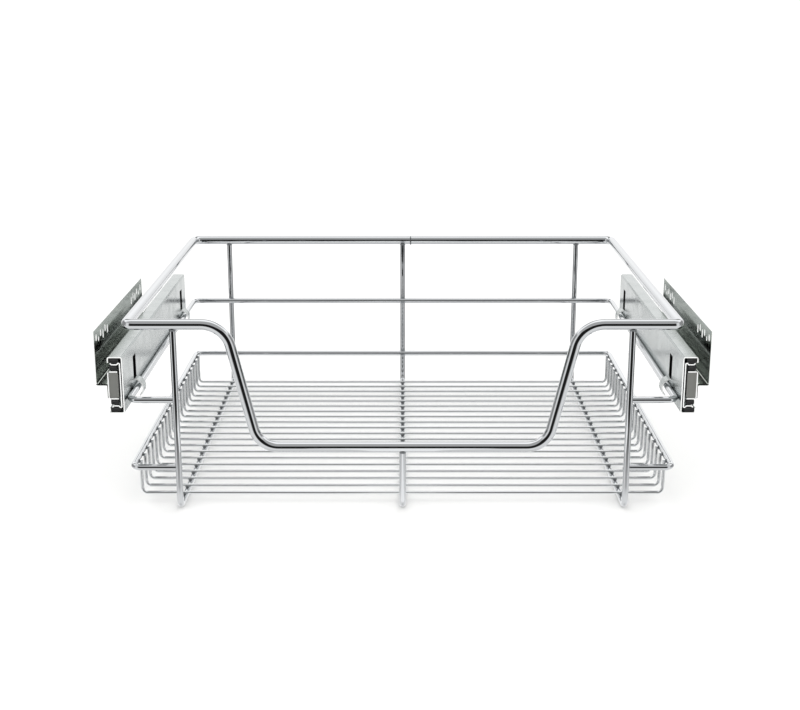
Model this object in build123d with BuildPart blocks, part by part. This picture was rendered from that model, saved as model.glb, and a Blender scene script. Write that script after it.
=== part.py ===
"""Pull out wire basket for a base cabinet, hung on two ball bearing slides.

The origin is on the surface the hoops stand on, in the middle of the basket.
X runs across the cabinet, Y from its front to its back, Z up.
"""
from build123d import *
import math
import os

os.makedirs("parts", exist_ok=True)

# ---- driving dimensions, millimetres -------------------------------------------------
cabinet_width = 564.0          # clear width between the cabinet walls
basket_depth = 422.0           # over the outsides of the rim
rim_height = 178.4             # axis of the top rim
mid_ring_height = 105.2        # axis of the middle ring
tray_ring_height = 39.4        # axis of the tray ring

rim_wire = 10.0                # wire diameters
ring_wire = 6.0
hoop_wire = 6.0
floor_wire = 3.2
rim_sides = 12                 # the wires are drawn with flat sides, to keep the model light
wire_sides = 8

rim_front_bend = 7.0           # bend radii, measured on the wire axis
rim_back_bend = 10.0
ring_bend = 8.0
hoop_bend = 8.0
floor_bend = 4.0                # corner of a floor wire, drawn as one mitred step

dip_height = 61.6              # axis of the low bar of the front opening
dip_top_half = 161.0           # half widths of the opening, where its sides meet the bars
dip_bottom_half = 133.0
dip_top_bend = 27.0
dip_bottom_bend = 23.0

post_inset = 47.0              # side hoops, in from the outsides of the wires
ring_stub_lap = 2.0            # how far a ring's front end passes the post's axis

floor_wire_count = 20
floor_wire_margin = 22.8       # first and last floor wire, from the rim's axis
floor_wire_rise = 1.4          # cut ends above the tray ring's axis

slide_length = 360.0
slide_height = 54.0
slide_depth = 14.0             # thickness of the closed slide
slide_axis_height = 120.9
slide_travel = 350.0           # of the basket; the middle rail goes half as far
slide_front_gap = 0.0          # slide's front end, from the rim's axis
sheet = 1.2                    # sheet of the slide members
ball = 5.5
running_gap = 0.05             # balls and cages to their races, each side

lip_height = 5.5               # down-turned lip of the basket rail
rail_bend = 1.6                # bends of the sheet, measured on its middle line
race_bend = 0.9
race_bend_tight = 0.8
web_gap = 0.8                  # basket rail's web to middle rail's web
mid_rail_reach = 11.4          # middle rail's lip, from the basket side of the slide
race_rise = 1.4                # shoulders of the middle rail's race over its groove
race_shoulder = 1.4
wall_rail_tip = 5.0            # wall rail's flange tips, from the basket side
wall_rail_proud = 0.4          # wall rail's back stands this far out of the slide

cage_margin = 17.5             # cage's ends, inside the overlap of the fully drawn rails
cage_bar_width = 3.2
cage_bar_centre = 7.6          # middle of the races, from the basket side
cage_strip = 0.4
cage_strip_gap = 0.5           # inner strip's middle, from the middle rail's web

block_length = 10.0
block_tip = 4.6                # end block's inner face, from the basket side
block_round = 1.0
stop_length = 6.0

hook_width = 12.0
hook_radius = 9.0              # on the strap's middle line
hook_drop = 17.0               # hook's centre below the slide's axis
hook_offset = 53.0             # front hook, from the slide's front end
hook_pitch = 276.0             # front hook to back hook
hook_slot_length = 22.5
hook_slot_play = 0.8

bracket_reach = 12.6           # bracket's wall face, from the back of the slide
bracket_sheet = 1.5
bracket_length = 230.0
bracket_front_gap = 4.0        # bracket's front end, from the slide's front end
bracket_bottom = 119.6         # underside of the flat step
bracket_top = 170.6
bracket_wall_bend = 1.5        # inner radius of the bend to the wall plate
bracket_web_bend = 1.0

slot_columns = 6
slot_pitch = 9.5
slot_width = 4.5
slot_high_length = 6.5
slot_low_length = 8.0
slot_high_drop = 8.2           # slot centres below the plate's top edge
slot_low_drop = 11.5
slot_clip = 0.3                # share of a slot's width clipped off at each corner
screw_hole = 4.5
screw_column = 1               # the column that has a round screw hole, counted from 0

rivet_shank = 4.0
rivet_head = 8.0
rivet_head_height = 1.0
rivet_margin = 40.0            # from each end of the bracket
rivet_drop = 7.0               # below the slide's axis

# ---- places that follow from them ----------------------------------------------------
wall_web_face = slide_depth + wall_rail_proud
slide_face = cabinet_width / 2 - bracket_reach - wall_web_face
basket_width = 2 * slide_face
post_offset = slide_face - post_inset
rim_half_width = (basket_width - rim_wire) / 2
rim_half_depth = (basket_depth - rim_wire) / 2
ring_half_width = (basket_width - ring_wire) / 2
ring_half_depth = rim_half_depth - (hoop_wire + ring_wire) / 2
hoop_axis_height = hoop_wire / 2
floor_axis_height = hoop_wire + floor_wire / 2
floor_half_width = ring_half_width - (ring_wire + floor_wire) / 2
floor_pitch = 2 * (rim_half_depth - floor_wire_margin) / (floor_wire_count - 1)
floor_end_height = tray_ring_height + floor_wire_rise

slide_front = -rim_half_depth + slide_front_gap
slide_back = slide_front + slide_length

outer_race = slide_height / 2 - sheet
mid_groove = outer_race - ball - 2 * running_gap
inner_race = mid_groove - sheet
wall_flange = inner_race - ball - 2 * running_gap
channel_half = wall_flange - sheet

mid_web = sheet + web_gap + sheet / 2
wall_web = wall_web_face - sheet / 2
bracket_web = wall_web_face + bracket_sheet / 2
bracket_plate = wall_web_face + bracket_reach - bracket_sheet / 2
bracket_front = slide_front + bracket_front_gap
bracket_back = bracket_front + bracket_length
bracket_step = bracket_bottom + bracket_sheet / 2
cage_length = slide_length - slide_travel / 2 - 2 * cage_margin
cage_front = slide_front + (slide_length - cage_length) / 2
rivet_places = [
    (bracket_front + rivet_margin, slide_axis_height - rivet_drop),
    (bracket_back - rivet_margin, slide_axis_height - rivet_drop),
]


def write(piece, label):
    """Name a finished piece and write it to its own file."""
    piece.label = label
    export_step(piece, f"parts/{label}.step")


def wire_section(diameter, sides):
    """Flat-sided section of a wire, its flats as far apart as the wire is thick."""
    RegularPolygon(diameter / 2, sides, major_radius=False, rotation=180 / sides)


def clipped_slot(width, length):
    """Upright slot with clipped corners."""
    clip = width * slot_clip
    half = width / 2 - clip
    reach = length / 2 - clip
    Polygon(
        (-half, -length / 2),
        (half, -length / 2),
        (width / 2, -reach),
        (width / 2, reach),
        (half, length / 2),
        (-half, length / 2),
        (-width / 2, reach),
        (-width / 2, -reach),
    )


# ---- top rim: one rod, dipped at the front as a grab opening ---------------------------
rim_corners = [
    (-rim_half_width, rim_half_depth, rim_height),
    (-rim_half_width, -rim_half_depth, rim_height),
    (-dip_top_half, -rim_half_depth, rim_height),
    (-dip_bottom_half, -rim_half_depth, dip_height),
    (dip_bottom_half, -rim_half_depth, dip_height),
    (dip_top_half, -rim_half_depth, rim_height),
    (rim_half_width, -rim_half_depth, rim_height),
    (rim_half_width, rim_half_depth, rim_height),
]
rim_bends = [rim_back_bend, rim_front_bend, dip_top_bend, dip_bottom_bend]
with BuildPart() as top_rim:
    with BuildLine() as rim_path:
        FilletPolyline(*rim_corners, radius=rim_bends + rim_bends[::-1], close=True)
    with BuildSketch(Plane(origin=rim_path.line @ 0, z_dir=rim_path.line % 0)):
        wire_section(rim_wire, rim_sides)
    sweep(path=rim_path.wires()[0])
write(top_rim.part, "top_rim")

# ---- middle ring and tray ring: open at the front between the posts --------------------
stub_end = post_offset - ring_stub_lap
for ring_name, ring_height in (("middle_ring", mid_ring_height), ("tray_ring", tray_ring_height)):
    with BuildPart() as ring:
        with BuildLine(Plane.XY.offset(ring_height)) as ring_path:
            FilletPolyline(
                (-stub_end, -ring_half_depth),
                (-ring_half_width, -ring_half_depth),
                (-ring_half_width, ring_half_depth),
                (ring_half_width, ring_half_depth),
                (ring_half_width, -ring_half_depth),
                (stub_end, -ring_half_depth),
                radius=ring_bend,
            )
        with BuildSketch(Plane(origin=ring_path.line @ 0, z_dir=ring_path.line % 0)):
            wire_section(ring_wire, wire_sides)
        sweep(path=ring_path.wires()[0])
    write(ring.part, ring_name)

# ---- hoops: front post, run under the floor, back post ---------------------------------
hoops = (
    ("hoop_left", -post_offset, rim_height),
    ("hoop_centre", 0.0, dip_height),
    ("hoop_right", post_offset, rim_height),
)
for hoop_name, hoop_x, front_bar_height in hoops:
    with BuildPart() as hoop:
        with BuildLine(Plane.YZ.offset(hoop_x)) as hoop_path:
            FilletPolyline(
                (-rim_half_depth, front_bar_height),
                (-rim_half_depth, hoop_axis_height),
                (rim_half_depth, hoop_axis_height),
                (rim_half_depth, rim_height),
                radius=hoop_bend,
            )
        with BuildSketch(Plane(origin=hoop_path.line @ 0, z_dir=hoop_path.line % 0)):
            wire_section(hoop_wire, wire_sides)
        sweep(path=hoop_path.wires()[0])
        # the post ends are saddled to the rod they are welded under
        add(top_rim.part, mode=Mode.SUBTRACT)
    write(hoop.part, hoop_name)

# ---- floor wires: across the hoops, turned up inside the tray ring ---------------------
for index in range(floor_wire_count):
    wire_y = -rim_half_depth + floor_wire_margin + index * floor_pitch
    with BuildPart() as wire:
        with BuildLine(Plane.XZ.offset(-wire_y)) as wire_path:
            Polyline(
                (-floor_half_width, floor_end_height),
                (-floor_half_width, floor_axis_height + floor_bend),
                (-floor_half_width + floor_bend, floor_axis_height),
                (floor_half_width - floor_bend, floor_axis_height),
                (floor_half_width, floor_axis_height + floor_bend),
                (floor_half_width, floor_end_height),
            )
        with BuildSketch(Plane(origin=wire_path.line @ 0, z_dir=wire_path.line % 0)):
            wire_section(floor_wire, wire_sides)
        sweep(path=wire_path.wires()[0], transition=Transition.RIGHT)
    write(wire.part, f"floor_wire_{index + 1:02d}")

# ---- slides and brackets, one of each on either side -----------------------------------
hook_places = (slide_front + hook_offset, slide_front + hook_offset + hook_pitch)
hook_slot_middle = slide_axis_height - hook_drop + hook_radius + hook_slot_length / 2
hook_sweep = math.degrees(hook_slot_length / hook_radius)

for side, outward in (("left", -1), ("right", 1)):

    def across(distance):
        """X of a place this far out of the slide's basket face."""
        return outward * (slide_face + distance)

    def section_plane(place_y):
        """Upright plane across the slide, centred on its axis height."""
        return Plane(origin=(0, place_y, slide_axis_height), x_dir=(1, 0, 0), z_dir=(0, -1, 0))

    # basket rail: channel open to the wall, with lips turned in over the outer balls
    rail_half = slide_height / 2 - sheet / 2
    lip_x = slide_depth - sheet / 2
    lip_tip = slide_height / 2 - lip_height
    with BuildPart() as basket_rail:
        with BuildSketch(section_plane(slide_front)):
            with BuildLine():
                FilletPolyline(
                    (across(lip_x), lip_tip),
                    (across(lip_x), rail_half),
                    (across(sheet / 2), rail_half),
                    (across(sheet / 2), -rail_half),
                    (across(lip_x), -rail_half),
                    (across(lip_x), -lip_tip),
                    radius=rail_bend,
                )
            trace(line_width=sheet)
        extrude(amount=-slide_length)
        # straps lanced out of the web and bent round the middle ring
        for hook_y in hook_places:
            with Locations((across(sheet / 2), hook_y, hook_slot_middle)):
                Box(2 * sheet, hook_width + hook_slot_play, hook_slot_length, mode=Mode.SUBTRACT)
            with BuildSketch(section_plane(hook_y - hook_width / 2)):
                with BuildLine():
                    CenterArc(
                        (across(sheet / 2), -hook_drop), hook_radius, 90, outward * hook_sweep
                    )
                trace(line_width=sheet)
            extrude(amount=-hook_width)
    write(basket_rail.part, f"basket_rail_{side}")

    # middle rail: its flanges are rolled into a groove for the balls on both faces
    groove = mid_groove - sheet / 2
    shoulder = groove + race_rise
    lip_foot = mid_rail_reach - race_rise
    groove_start = mid_web + race_shoulder + race_rise
    with BuildPart() as middle_rail:
        with BuildSketch(section_plane(slide_front)):
            with BuildLine():
                FilletPolyline(
                    (across(mid_rail_reach), shoulder),
                    (across(lip_foot), groove),
                    (across(groove_start), groove),
                    (across(mid_web + race_shoulder), shoulder),
                    (across(mid_web), shoulder),
                    (across(mid_web), -shoulder),
                    (across(mid_web + race_shoulder), -shoulder),
                    (across(groove_start), -groove),
                    (across(lip_foot), -groove),
                    (across(mid_rail_reach), -shoulder),
                    radius=[race_bend, race_bend, race_bend_tight, race_bend]
                    + [race_bend, race_bend_tight, race_bend, race_bend],
                )
            trace(line_width=sheet)
        extrude(amount=-slide_length)
    write(middle_rail.part, f"middle_rail_{side}")

    # wall rail: channel open to the basket, riveted to the bracket
    flange_middle = wall_flange - sheet / 2
    with BuildPart() as wall_rail:
        with BuildSketch(section_plane(slide_front)):
            with BuildLine():
                FilletPolyline(
                    (across(wall_rail_tip), flange_middle),
                    (across(wall_web), flange_middle),
                    (across(wall_web), -flange_middle),
                    (across(wall_rail_tip), -flange_middle),
                    radius=rail_bend,
                )
            trace(line_width=sheet)
        extrude(amount=-slide_length)
        with BuildSketch(Plane.YZ.offset(across(wall_web_face))):
            with Locations(*rivet_places):
                Circle(rivet_shank / 2)
        extrude(amount=-outward * 2 * sheet, mode=Mode.SUBTRACT)
    write(wall_rail.part, f"wall_rail_{side}")

    # ball cages: a thin strip behind the web, with a bar of ball pockets in each race
    cages = (
        ("outer_cage", sheet + web_gap / 2, outer_race, mid_groove),
        ("inner_cage", mid_web + sheet / 2 + cage_strip_gap, inner_race, wall_flange),
    )
    for cage_name, strip_x, race_top, race_bottom in cages:
        bar_height = race_top - race_bottom - 2 * running_gap
        bar_middle = (race_top + race_bottom) / 2
        with BuildPart() as cage:
            with BuildSketch(section_plane(cage_front)):
                with BuildLine():
                    Polyline(
                        (across(cage_bar_centre), bar_middle),
                        (across(strip_x), bar_middle),
                        (across(strip_x), -bar_middle),
                        (across(cage_bar_centre), -bar_middle),
                    )
                trace(line_width=cage_strip)
                with Locations(
                    (across(cage_bar_centre), bar_middle),
                    (across(cage_bar_centre), -bar_middle),
                ):
                    Rectangle(cage_bar_width, bar_height)
            extrude(amount=-cage_length)
        write(cage.part, f"{cage_name}_{side}")

    # plastic pieces in the wall rail's channel: end block at the front, stop at the back
    block_width = wall_web - sheet / 2 - block_tip
    block_x = across(block_tip + block_width / 2)
    with BuildPart() as end_block:
        with Locations((block_x, slide_front + block_length / 2, slide_axis_height)):
            Box(block_width, block_length, 2 * channel_half)
        fillet(end_block.edges().filter_by(Axis.Y), block_round)
    write(end_block.part, f"end_block_{side}")
    with BuildPart() as rear_stop:
        with Locations((block_x, slide_back - stop_length / 2, slide_axis_height)):
            Box(block_width, stop_length, 2 * channel_half)
        chamfer(rear_stop.edges().filter_by(Axis.Y), block_round)
    write(rear_stop.part, f"rear_stop_{side}")

    # wall bracket: plate with screw slots, flat step, lower web behind the wall rail
    step_middle = bracket_step - slide_axis_height
    with BuildPart() as bracket:
        with BuildSketch(section_plane(bracket_front)):
            with BuildLine():
                FilletPolyline(
                    (across(bracket_plate), bracket_top - slide_axis_height),
                    (across(bracket_plate), step_middle),
                    (across(bracket_web), step_middle),
                    (across(bracket_web), -wall_flange),
                    radius=[
                        bracket_wall_bend + bracket_sheet / 2,
                        bracket_web_bend + bracket_sheet / 2,
                    ],
                )
            trace(line_width=bracket_sheet)
        extrude(amount=-bracket_length)
        with BuildSketch(Plane.YZ.offset(outward * cabinet_width / 2)):
            for column in range(slot_columns):
                offset_y = slot_pitch * (column + 1)
                for slot_y in (bracket_front + offset_y, bracket_back - offset_y):
                    if column == screw_column:
                        with Locations((slot_y, bracket_top - slot_low_drop)):
                            Circle(screw_hole / 2)
                    elif column % 2:
                        with Locations((slot_y, bracket_top - slot_low_drop)):
                            clipped_slot(slot_width, slot_low_length)
                    else:
                        with Locations((slot_y, bracket_top - slot_high_drop)):
                            clipped_slot(slot_width, slot_high_length)
        extrude(amount=-outward * 2 * bracket_sheet, mode=Mode.SUBTRACT)
        with BuildSketch(Plane.YZ.offset(across(wall_web_face))):
            with Locations(*rivet_places):
                Circle(rivet_shank / 2)
        extrude(amount=outward * 2 * bracket_sheet, mode=Mode.SUBTRACT)
    write(bracket.part, f"wall_bracket_{side}")

    # rivets: a shank through both sheets, flush in the channel, and a flat head outside
    with BuildPart() as rivets:
        layers = (
            (wall_web_face - sheet, sheet + bracket_sheet, rivet_shank),
            (wall_web_face + bracket_sheet, rivet_head_height, rivet_head),
        )
        for layer_start, layer_height, layer_diameter in layers:
            with BuildSketch(Plane.YZ.offset(across(layer_start))):
                with Locations(*rivet_places):
                    Circle(layer_diameter / 2)
            extrude(amount=outward * layer_height)
    write(rivets.part, f"rivets_{side}")
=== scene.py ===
"""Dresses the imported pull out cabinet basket: round chromed wires, welds, plated slides and brackets.

Metres, in the frame of the CAD model: X across the cabinet, Y from its front to its back, Z up,
with the origin on the floor under the middle of the basket.
"""

import functools
import math
import random

import bmesh
import bpy
from bpy.props import FloatProperty, FloatVectorProperty, IntProperty, PointerProperty
from bpy.types import Operator, Panel, PropertyGroup
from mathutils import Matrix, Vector, noise


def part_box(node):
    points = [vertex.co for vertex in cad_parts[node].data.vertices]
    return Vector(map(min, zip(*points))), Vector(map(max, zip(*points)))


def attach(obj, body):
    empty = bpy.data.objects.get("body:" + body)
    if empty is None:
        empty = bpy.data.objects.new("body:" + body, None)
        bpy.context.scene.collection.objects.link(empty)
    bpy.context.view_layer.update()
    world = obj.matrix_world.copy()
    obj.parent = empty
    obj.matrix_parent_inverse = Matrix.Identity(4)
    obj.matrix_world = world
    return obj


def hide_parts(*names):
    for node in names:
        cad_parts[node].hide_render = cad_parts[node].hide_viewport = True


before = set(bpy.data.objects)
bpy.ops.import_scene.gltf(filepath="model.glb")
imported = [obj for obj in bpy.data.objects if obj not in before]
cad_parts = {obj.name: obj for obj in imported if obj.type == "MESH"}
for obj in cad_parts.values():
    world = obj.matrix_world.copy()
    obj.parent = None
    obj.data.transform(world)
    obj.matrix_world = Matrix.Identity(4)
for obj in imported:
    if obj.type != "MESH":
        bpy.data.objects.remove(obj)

bl_info = {
    "name": "Pull Out Cabinet Basket",
    "version": (1, 0, 0),
    "blender": (4, 5, 0),
    "location": "View3D > Sidebar > Basket",
    "description": "Builds a chromed wire basket with its ball bearing slides, and a studio round it",
    "category": "Object",
}

SIDES = (("left", -1), ("right", 1))
HOOPS = ("hoop_left", "hoop_centre", "hoop_right")

# the basket rail's hook slots: from its front end to the front one, from that to the back one, and
# about this far up from the slide's axis to the middle of their height
HOOK_OFFSET = 0.053
HOOK_PITCH = 0.276
HOOK_SLOT_UP = 0.0033
# a slot's walls lie within this reach of its middle along the slide, and this deep in the rail
HOOK_SLOT_REACH = 0.009
HOOK_SLOT_DEPTH = 0.0015
# the painted shade's middle lies a little further back than the slot's. It reaches this far from there,
# over a soft edge, and falls back by up to this much between its lobes.
PAINTED_SHADE_BEHIND = 0.004
PAINTED_SHADE_REACH = 0.0145
PAINTED_SHADE_SOFT = 0.001
PAINTED_SHADE_LOBES = 0.005

# points are set about this far apart along straight wires
WIRE_STEP = 0.012
FLOOR_WIRE_STEP = 0.010
# how many flats stand in for a round rod, wire or ball
ROUND_SIDES = 40
WIRE_SIDES = 28
FLOOR_WIRE_SIDES = 20
BALL_SIDES = 20
# how often a wire strays to one side and back, in waves to the metre
WAVES = 9

# the rings' front stubs end this far past the axes of the front posts
STUB_PAST = 0.002
# the posts' ends are sunk this far into the rod of the rim
POST_SINK = 0.0012
# half sizes of the weld metal, along and across the wires
FLOOR_BEAD = (0.0021, 0.0019)
RING_BEAD = 0.0028
# the rim's butt weld is dressed flush at the top and the back, where things slide past
BUTT_WELD_SUNK = 0.0003

# each race plug's near and far edges, up or down from the slide's axis
OUTER_PLUG_LEVELS = (0.0209, 0.0254)
INNER_PLUG_LEVELS = (0.0138, 0.0186)
# and how far the plugs are set back from the rail's front end
PLUG_SET_BACK = 0.0006

# the softbox hangs over the basket, and the card lies in front, just under the floor
SOFTBOX_SIZE = (2.6, 2.0)
SOFTBOX_PLACE = (0, -0.1, 2.0)
CARD_NEAR, CARD_FAR, CARD_LEVEL = -0.44, -0.216, -0.004
CARD_NEAR_HALF, CARD_FAR_HALF = 0.11, 0.03
# the basket stands a little to the right of the photo's middle
CAMERA_SHIFT = -0.0033


def linear(hex_colour):
    """Linear red, green and blue of an sRGB hex colour."""
    parts = [int(hex_colour[i : i + 2], 16) / 255 for i in (1, 3, 5)]
    return [c / 12.92 if c <= 0.04045 else ((c + 0.055) / 1.055) ** 2.4 for c in parts]


def length(name, description, default):
    """A length in metres that a user may change."""
    return FloatProperty(name=name, description=description, default=default, unit="LENGTH", precision=5)


def colour(name, description, default):
    """A colour that a user may change, given as an sRGB hex value."""
    return FloatVectorProperty(
        name=name, description=description, default=linear(default), subtype="COLOR", min=0, max=1
    )


def middle(node):
    """Middle of a CAD node's box."""
    low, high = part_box(node)
    return (low + high) / 2


def floor_wire_nodes():
    """The CAD nodes of the floor wires, in the order of their names."""
    return sorted(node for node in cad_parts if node.startswith("floor_wire_"))


def slide_face(side, outward, slides):
    """X of the slide's face on the basket's side, which is its depth in from the rail's lips."""
    low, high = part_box(f"basket_rail_{side}")
    lips = high.x if outward > 0 else low.x
    return lips - outward * slides.depth


FRONT_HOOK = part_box("basket_rail_right")[0].y + HOOK_OFFSET
HOOK_PLACES = (FRONT_HOOK, FRONT_HOOK + HOOK_PITCH)
HOOK_SLOT_LEVEL = middle("basket_rail_right").z + HOOK_SLOT_UP
# the middle rail's web lies nearer to the middle of the basket than this
HIDDEN_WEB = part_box("middle_rail_right")[0].x + 0.0005
# the bracket's wall plate lies further out than this
BRACKET_SHEET = 0.0015
PLATE_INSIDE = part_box("wall_bracket_right")[1].x - BRACKET_SHEET


# ---- sizes and colours that a user would change ------------------------------------------
class BasketWires(PropertyGroup):
    """Wires of the basket"""

    rim_wire: length("Rim rod", "Diameter of the rod of the top rim", 0.010)
    ring_wire: length("Ring and hoop wire", "Diameter of the rings and hoops", 0.006)
    floor_wire: length("Floor wire", "Diameter of the floor wires", 0.0032)
    rim_front_bend: length("Front bend", "Radius of the rim's front corners, on its axis", 0.007)
    rim_back_bend: length("Back bend", "Radius of the rim's back corners, on its axis", 0.010)
    ring_bend: length("Ring bend", "Radius of the rings' corners, on their axis", 0.008)
    hoop_bend: length("Hoop bend", "Radius of the hoops' corners, on their axis", 0.008)
    floor_bend: length("Floor bend", "Radius of the floor wires' corners, on their axis", 0.005)
    dip_height: length("Dip height", "Height of the low bar of the front opening, on its axis", 0.0616)
    dip_top_half: length("Dip top", "Half width of the opening at the rim", 0.161)
    dip_bottom_half: length("Dip bottom", "Half width of the opening at its low bar", 0.133)
    dip_top_bend: length("Dip top bend", "Radius of the opening's top bends", 0.027)
    dip_bottom_bend: length("Dip bottom bend", "Radius of the opening's bottom bends", 0.023)
    cut_round: length("Cut round", "How far a cut end is rounded over", 0.0004)
    waver: length("Waver", "How far a drawn wire strays from a straight line", 0.00012)
    butt_weld: length("Butt weld", "Rim's butt weld, to the right of its middle", 0.0095)
    bead: length("Weld bead", "Height of the metal squeezed out of a wire joint", 0.0009)


class BasketSlides(PropertyGroup):
    """Ball bearing slides"""

    ball: length("Ball", "Diameter of the bearing balls", 0.0054)
    ball_pitch: length("Ball pitch", "Distance from one ball to the next", 0.0115)
    depth: length("Depth", "Thickness of the closed slide", 0.014)
    race_centre: length("Race centre", "Ball centres, out from the basket side of the slide", 0.0076)
    outer_plug_near: length("Outer plug, near", "Outer race plug's near side, from the basket", 0.0036)
    outer_plug_far: length("Outer plug, far", "Outer race plug's far side, from the basket", 0.0124)
    inner_plug_near: length("Inner plug, near", "Inner race plug's near side, from the basket", 0.0052)
    inner_plug_far: length("Inner plug, far", "Inner race plug's far side, from the basket", 0.0126)
    plug_length: length("Plug length", "Length of the race plugs", 0.006)
    edge_round: length("Edge round", "Rounding of the sheet's cut edges", 0.00022)
    rivet_head: length("Rivet head", "Diameter of the rivets' heads", 0.008)
    rivet_crown: length("Rivet crown", "Height of the rivets' heads", 0.001)


class BasketFinishes(PropertyGroup):
    """Colours of the finishes"""

    chrome: colour("Chrome", "Bright chrome plate on the wires", "#C6C8CA")
    thin_chrome: colour("Thin chrome", "Chrome plate on the floor wires", "#DCDEDF")
    weld: colour("Weld", "Chrome plate over rough weld metal", "#787B7D")
    zinc: colour("Zinc", "Bright zinc plate on the slide members", "#A8ADAC")
    nickel: colour("Nickel", "Bright plate on the brackets", "#A6ACA5")
    sheared: colour("Sheared edge", "Cut edges of the plated sheet", "#F1F2F1")
    # painted shade: near black, put behind the hook slots, where the slide only lies in shade
    grease_and_painted_shade: colour("Painted slot shade", "Near black painted shade behind the hook slots", "#161616")
    bearing: colour("Bearing steel", "Ground and polished balls", "#D6D8DA")
    black_plastic: colour("Black plastic", "Moulded black parts", "#1B1C1D")
    grey_plastic: colour("Grey plastic", "Moulded end blocks", "#6E6F6B")
    floor: colour("Floor", "Matt painted floor", "#F4F4F3")


class BasketStudio(PropertyGroup):
    """Camera and light"""

    camera_back: length("Camera back", "Camera, in front of the basket's middle", 1.3722)
    camera_height: length("Camera height", "Camera, over the floor", 0.4738)
    camera_pitch: FloatProperty(
        name="Camera pitch", description="How far the camera looks down", default=0.271, subtype="ANGLE"
    )
    camera_lens: FloatProperty(name="Lens", description="Focal length", default=60.0, unit="CAMERA")
    fill: FloatProperty(name="Fill", description="Strength of the white light all round", default=1.3)
    wall: FloatProperty(name="Walls", description="Brightness of the mirrored walls", default=1.12)
    back_light: FloatProperty(name="Back", description="Brightness of the upper back", default=1.7)
    card: FloatProperty(name="Low card", description="Brightness of the card low in front", default=1.4)
    under: FloatProperty(name="Under", description="Brightness from straight below", default=0.85)
    ceiling: FloatProperty(name="Ceiling", description="Brightness mirrored over the camera", default=0.6)
    screens: FloatProperty(name="Screens", description="Brightness of the grey side screens", default=0.4)
    opening: FloatProperty(name="Opening", description="Brightness of the dark opening", default=0.018)
    softbox_power: FloatProperty(
        name="Softbox", description="Power of the softbox overhead", default=3.0, unit="POWER"
    )
    floor_size: length("Floor size", "Length of the floor's sides", 40.0)
    seed: IntProperty(name="Seed", description="Start of the random waver of wires and welds", default=7)


# ---- materials ---------------------------------------------------------------------------
def add(tree, kind, settings=None, values=None, links=None):
    """Adds one node, with its settings, socket values and the links into it."""
    node = tree.nodes.new(kind)
    for name, value in (settings or {}).items():
        setattr(node, name, value)
    for socket, value in (values or {}).items():
        node.inputs[socket].default_value = value
    for socket, source in (links or {}).items():
        tree.links.new(source, node.inputs[socket])
    return node


def material_named(name):
    """Marks a function that adds a material's nodes to a tree and returns its shader.

    It is then called with the settings only, and gives the material of that name, which is made
    the first time.
    """

    def mark(shade):
        @functools.wraps(shade)
        def made(settings):
            material = bpy.data.materials.get(name)
            if not material:
                material = bpy.data.materials.new(name)
                material.use_nodes = True
                tree = material.node_tree
                tree.nodes.clear()
                shader = shade(tree, settings)
                add(tree, "ShaderNodeOutputMaterial", {}, {}, {"Surface": shader.outputs[0]})
            return material

        return made

    return mark


def rgba(colour_value):
    """A colour at full opacity, as a shader's socket takes it."""
    return (*colour_value, 1)


@material_named("bright chrome plate on drawn steel wire")
def chrome_plate(tree, finishes):
    """Bright chrome plate on cold drawn wire.

    It mirrors the room almost sharply. The die leaves faint lines along the wire, and handling
    leaves patches that are a little duller.
    """
    uv = add(tree, "ShaderNodeUVMap", {"uv_map": "wire"})
    # die lines are about 0.05 mm apart; they are drawn 0.5 mm apart so that they show
    stretch = add(
        tree, "ShaderNodeVectorMath", {"operation": "MULTIPLY"}, {1: (8, 2000, 1)}, {0: uv.outputs["UV"]}
    )
    die = add(tree, "ShaderNodeTexNoise", {}, {"Scale": 1, "Detail": 2}, {"Vector": stretch.outputs[0]})
    place = add(tree, "ShaderNodeTexCoord")
    # finger marks and thin spots in the plate are about 12 mm across
    haze = add(
        tree, "ShaderNodeTexNoise", {}, {"Scale": 80, "Detail": 4}, {"Vector": place.outputs["Object"]}
    )
    dull = add(
        tree,
        "ShaderNodeMapRange",
        {},
        {"From Min": 0.35, "From Max": 0.75, "To Min": 0.02, "To Max": 0.055},
        {"Value": haze.outputs[0]},
    )
    bump = add(
        tree, "ShaderNodeBump", {}, {"Strength": 0.04, "Distance": 0.0001}, {"Height": die.outputs[0]}
    )
    return add(
        tree,
        "ShaderNodeBsdfPrincipled",
        {},
        {"Base Color": rgba(finishes.chrome), "Metallic": 1},
        {"Roughness": dull.outputs[0], "Normal": bump.outputs[0]},
    )


@material_named("chrome plate on unpolished thin wire")
def dull_chrome_plate(tree, finishes):
    """Chrome plate on thin wire drawn fast and left unpolished.

    The thinner wire keeps a rougher skin under the plate, which blurs the room into soft greys
    and leaves uneven light and dark lengths.
    """
    place = add(tree, "ShaderNodeTexCoord")
    # the skin's light and dark lengths are about 25 mm long
    skin = add(
        tree, "ShaderNodeTexNoise", {}, {"Scale": 40, "Detail": 4}, {"Vector": place.outputs["Object"]}
    )
    dull = add(
        tree,
        "ShaderNodeMapRange",
        {},
        {"From Min": 0.3, "From Max": 0.7, "To Min": 0.07, "To Max": 0.20},
        {"Value": skin.outputs[0]},
    )
    # draw marks are about 0.1 mm apart; they are drawn 0.8 mm apart so that they show
    marks = add(
        tree, "ShaderNodeTexNoise", {}, {"Scale": 1200, "Detail": 2}, {"Vector": place.outputs["Object"]}
    )
    bump = add(
        tree, "ShaderNodeBump", {}, {"Strength": 0.08, "Distance": 0.0001}, {"Height": marks.outputs[0]}
    )
    return add(
        tree,
        "ShaderNodeBsdfPrincipled",
        {},
        {"Base Color": rgba(finishes.thin_chrome), "Metallic": 1},
        {"Roughness": dull.outputs[0], "Normal": bump.outputs[0]},
    )


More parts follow.
